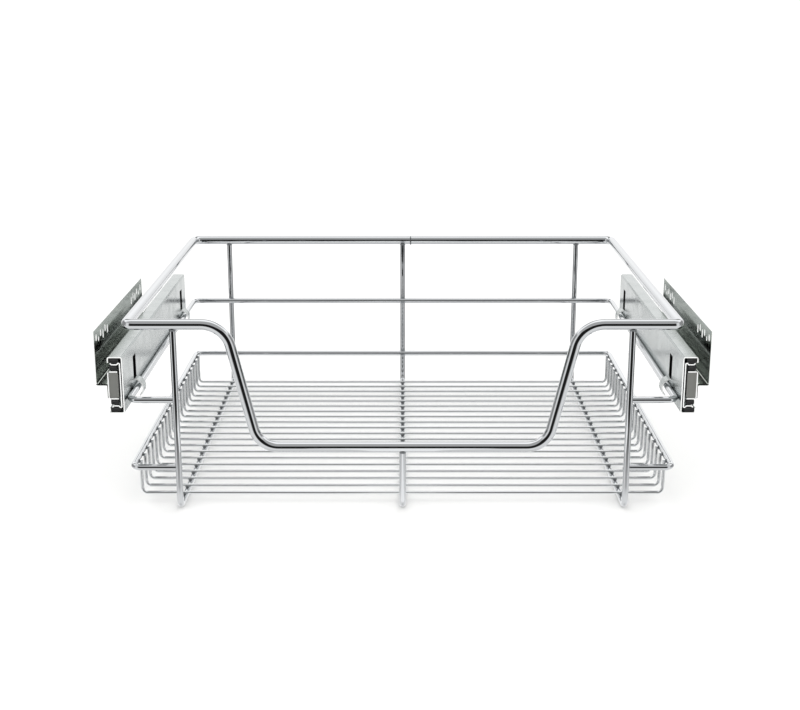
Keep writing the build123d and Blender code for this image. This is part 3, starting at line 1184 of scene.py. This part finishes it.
class BASKET_OT_welds(Operator):
    """Adds the metal squeezed out where wires are welded to each other"""

    bl_idname = "basket.welds"
    bl_label = "Welds"

    def execute(self, context):
        wires = context.scene.basket_wires
        seed = context.scene.basket_studio.seed
        weld = plated_weld(context.scene.basket_finishes)
        posts = [middle(hoop).x for hoop in HOOPS]
        hoop_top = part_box("hoop_centre")[0].z + wires.ring_wire
        crossings, ends = [], []
        for node in floor_wire_nodes():
            low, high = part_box(node)
            along = (low.y + high.y) / 2
            for across in posts:
                crossings.append(((across, along, hoop_top), (*FLOOR_BEAD, wires.bead)))
            for across in (low.x, high.x):
                spot = (across, along, middle("tray_ring").z)
                ends.append((spot, (wires.bead, *reversed(FLOOR_BEAD))))
        mesh = beads_mesh("floor_welds", crossings + ends, seed)
        place_piece("floor_welds", mesh, "basket", [weld])

        low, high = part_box("tray_ring")
        halves = (RING_BEAD, wires.bead, RING_BEAD)
        spots = []
        for node in ("middle_ring", "tray_ring"):
            level = middle(node).z
            for across in posts:
                spots.append(((across, high.y, level), halves))
                # the rings are open at the front, where the middle post stands
                if across:
                    spots.append(((across, low.y, level), halves))
        mesh = beads_mesh("ring_welds", spots, seed + 1)
        place_piece("ring_welds", mesh, "basket", [weld])

        low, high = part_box("top_rim")
        half = wires.rim_wire / 2
        under, front, back = high.z - wires.rim_wire, low.y + half, high.y - half
        post = wires.ring_wire / 2
        # a collar swells from the post up to the rim rod, as (radius, height) from the rod's underside
        collar = [(post, -0.0010), (post + 0.0002, -0.0005), (post + 0.0005, 0)]
        collar += [(post + 0.0009, 0.0006), (post + 0.0010, 0.0012), (post, 0.0014)]
        tops = [(across, back, under) for across in posts]
        tops += [(across, front, under) for across in posts if across]
        tops.append((0, front, wires.dip_height - half))
        mesh = turned_mesh("post_collars", collar, tops, (0, 0, 1))
        place_piece("post_collars", mesh, "basket", [weld])

        # a low bulge round the rod, as (radius, distance along it)
        bulge = [(half - 0.001, -0.0011), (half + 0.0001, -0.0007), (half + 0.00025, 0)]
        bulge += [(half + 0.0001, 0.0007), (half - 0.001, 0.0011)]
        spot = (wires.butt_weld, back - BUTT_WELD_SUNK, high.z - half - BUTT_WELD_SUNK)
        mesh = turned_mesh("rim_butt_weld", bulge, [spot], (1, 0, 0))
        place_piece("rim_butt_weld", mesh, "basket", [weld])
        return {"FINISHED"}


class BASKET_OT_slides(Operator):
    """Finishes the rails, cages and rear stops, and sets the balls in their cages"""

    bl_idname = "basket.slides"
    bl_label = "Slides"

    def execute(self, context):
        slides, finishes = context.scene.basket_slides, context.scene.basket_finishes
        zinc, steel, cut = zinc_plate(finishes), bearing_steel(finishes), sheared_edge(finishes)
        black, grease_and_painted_shade = black_polyamide(finishes), painted_slot_shade_plate(finishes)
        radius = slides.ball / 2
        for side, outward in SIDES:
            face = slide_face(side, outward, slides)
            # the hook slots' walls and the middle rail's web behind them get near black painted shade
            painted_shade_faces = {
                "basket_rail": [(grease_and_painted_shade, hook_slots(face))],
                "middle_rail": [(grease_and_painted_shade, is_hidden_web)],
            }
            for rail in ("basket_rail", "middle_rail", "wall_rail"):
                others = [(cut, is_cut_end)] + painted_shade_faces.get(rail, [])
                dress_node(f"{rail}_{side}", zinc, slides.edge_round, others)
            for cage in ("outer_cage", "inner_cage"):
                dress_node(f"{cage}_{side}", zinc, slides.edge_round / 2)
                low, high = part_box(f"{cage}_{side}")
                centre = face + outward * slides.race_centre
                count = int((high.y - low.y - slides.ball) // slides.ball_pitch)
                start = (low.y + high.y - count * slides.ball_pitch) / 2
                spots = []
                for level in (low.z + radius, high.z - radius):
                    for k in range(count + 1):
                        spots.append((centre, start + k * slides.ball_pitch, level))
                name = f"{cage}_balls_{side}"
                mesh = turned_mesh(name, ball_profile(radius), spots, (0, 0, 1), BALL_SIDES)
                place_piece(name, mesh, f"{cage}_{side}", [steel])
            dress_node(f"rear_stop_{side}", black, slides.edge_round * 2)
        return {"FINISHED"}


class BASKET_OT_slide_ends(Operator):
    """Moulds the grey end blocks and the black plugs that close the races at the front.

    The plugs' black is also painted shade, for the dark inside the races.
    """

    bl_idname = "basket.slide_ends"
    bl_label = "Slide ends"

    def execute(self, context):
        slides, finishes = context.scene.basket_slides, context.scene.basket_finishes
        black, grey = black_polyamide(finishes), grey_polyamide(finishes)
        races = (
            ("outer", slides.outer_plug_near, slides.outer_plug_far, OUTER_PLUG_LEVELS),
            ("inner", slides.inner_plug_near, slides.inner_plug_far, INNER_PLUG_LEVELS),
        )
        for side, outward in SIDES:
            node = f"end_block_{side}"
            low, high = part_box(node)
            mesh = rounded_plate(node + "_moulded", low, high, corner=0.0018, lip=0.0007, dish=0.0004)
            block = place_piece(node + "_moulded", mesh, "wall_side", [grey], [node])
            shade_evenly(block)
            rail_low, rail_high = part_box(f"basket_rail_{side}")
            axis, face = (rail_low.z + rail_high.z) / 2, slide_face(side, outward, slides)
            front = rail_low.y + PLUG_SET_BACK
            for race, near, far, levels in races:
                for level, up in (("upper", 1), ("lower", -1)):
                    ends_x = sorted((face + outward * near, face + outward * far))
                    ends_z = sorted((axis + up * levels[0], axis + up * levels[1]))
                    low = (ends_x[0], front, ends_z[0])
                    high = (ends_x[1], front + slides.plug_length, ends_z[1])
                    # the plugs are black moulded parts, and their black also paints the shade inside the
                    # races
                    name = f"{race}_race_plug_{level}_{side}"
                    mesh = rounded_plate(name, low, high, corner=0.0012, lip=0.0006, dish=0.0008)
                    plug = place_piece(name, mesh, f"middle_{side}", [black])
                    shade_evenly(plug)
        return {"FINISHED"}


class BASKET_OT_brackets(Operator):
    """Finishes the wall brackets and sets the rivets with domed heads"""

    bl_idname = "basket.brackets"
    bl_label = "Brackets"

    def execute(self, context):
        slides, finishes = context.scene.basket_slides, context.scene.basket_finishes
        nickel, zinc, cut = nickel_plate(finishes), zinc_plate(finishes), sheared_edge(finishes)
        for side, _ in SIDES:
            dress_node(f"wall_bracket_{side}", nickel, others=[(cut, is_punched)])
        head = slides.rivet_head / 2
        for node in sorted(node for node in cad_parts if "rivet" in node):
            low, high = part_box(node)
            level = middle(node).z
            outward = 1 if middle(node).x > 0 else -1
            outer = high.x if outward > 0 else low.x
            profile = rivet_profile(head, head / 2, slides.rivet_crown, high.x - low.x)
            # each pair is one node, with a rivet at either end of its box
            places = [(outer, low.y + head, level), (outer, high.y - head, level)]
            mesh = turned_mesh(node + "_domed", profile, places, (outward, 0, 0))
            place_piece(node + "_domed", mesh, "wall_side", [zinc], [node])
        return {"FINISHED"}


class BASKET_OT_stage(Operator):
    """Sets the floor, the soft studio light and the camera"""

    bl_idname = "basket.stage"
    bl_label = "Stage"

    def execute(self, context):
        scene = context.scene
        studio = scene.basket_studio
        half = studio.floor_size / 2
        corners = [(-half, -half, 0), (half, -half, 0), (half, half, 0), (-half, half, 0)]
        floor = flat_sheet("floor", corners, painted_floor(scene.basket_finishes))
        light = bpy.data.lights.new("top softbox", "AREA")
        light.shape = "RECTANGLE"
        light.size, light.size_y = SOFTBOX_SIZE
        light.energy = studio.softbox_power
        lamp = bpy.data.objects.new("top softbox", light)
        lamp.location = SOFTBOX_PLACE
        scene.collection.objects.link(lamp)
        # the middle post mirrors a white card low in front, which the floor hides from the camera
        corners = [
            (-CARD_NEAR_HALF, CARD_NEAR, CARD_LEVEL),
            (CARD_NEAR_HALF, CARD_NEAR, CARD_LEVEL),
            (CARD_FAR_HALF, CARD_FAR, CARD_LEVEL),
            (-CARD_FAR_HALF, CARD_FAR, CARD_LEVEL),
        ]
        card = flat_sheet("low card", corners, lit_card(studio))
        card.visible_camera = card.visible_diffuse = card.visible_shadow = False
        # the metal mirrors the studio that the world paints, under the floor too, and not the floor
        floor.visible_glossy = False
        lamp.visible_glossy = False
        scene.world = studio_room(studio)

        scene.view_settings.view_transform = "Standard"
        view = bpy.data.cameras.new("camera")
        view.lens, view.sensor_width = studio.camera_lens, 36
        view.shift_x = CAMERA_SHIFT
        view.clip_start, view.clip_end = 0.01, 100
        camera = bpy.data.objects.new("camera", view)
        camera.location = (0, -studio.camera_back, studio.camera_height)
        camera.rotation_euler = (math.pi / 2 - studio.camera_pitch, 0, 0)
        scene.collection.objects.link(camera)
        scene.camera = camera
        return {"FINISHED"}


class BASKET_PT_panel(Panel):
    """Sizes, colours and steps of the basket"""

    bl_idname = "BASKET_PT_panel"
    bl_label = "Pull Out Basket"
    bl_space_type = "VIEW_3D"
    bl_region_type = "UI"
    bl_category = "Basket"

    def draw(self, context):
        layout = self.layout
        for group in GROUPS:
            box = layout.box()
            settings = getattr(context.scene, GROUPS[group])
            for name in group.__annotations__:
                box.prop(settings, name)
        for operator in OPERATORS:
            layout.operator(operator.bl_idname)


GROUPS = {
    BasketWires: "basket_wires",
    BasketSlides: "basket_slides",
    BasketFinishes: "basket_finishes",
    BasketStudio: "basket_studio",
}
OPERATORS = (
    BASKET_OT_top_rim,
    BASKET_OT_rings,
    BASKET_OT_hoops,
    BASKET_OT_floor_wires,
    BASKET_OT_welds,
    BASKET_OT_slides,
    BASKET_OT_slide_ends,
    BASKET_OT_brackets,
    BASKET_OT_stage,
)


def register():
    for group, name in GROUPS.items():
        bpy.utils.register_class(group)
        setattr(bpy.types.Scene, name, PointerProperty(type=group))
    for operator in OPERATORS:
        bpy.utils.register_class(operator)
    bpy.utils.register_class(BASKET_PT_panel)


def unregister():
    bpy.utils.unregister_class(BASKET_PT_panel)
    for operator in reversed(OPERATORS):
        bpy.utils.unregister_class(operator)
    for group, name in GROUPS.items():
        delattr(bpy.types.Scene, name)
        bpy.utils.unregister_class(group)


def main():
    """Builds every piece in order."""
    register()
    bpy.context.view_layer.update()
    for operator in OPERATORS:
        group, name = operator.bl_idname.split(".")
        getattr(getattr(bpy.ops, group), name)()


if __name__ == "__main__":
    main()
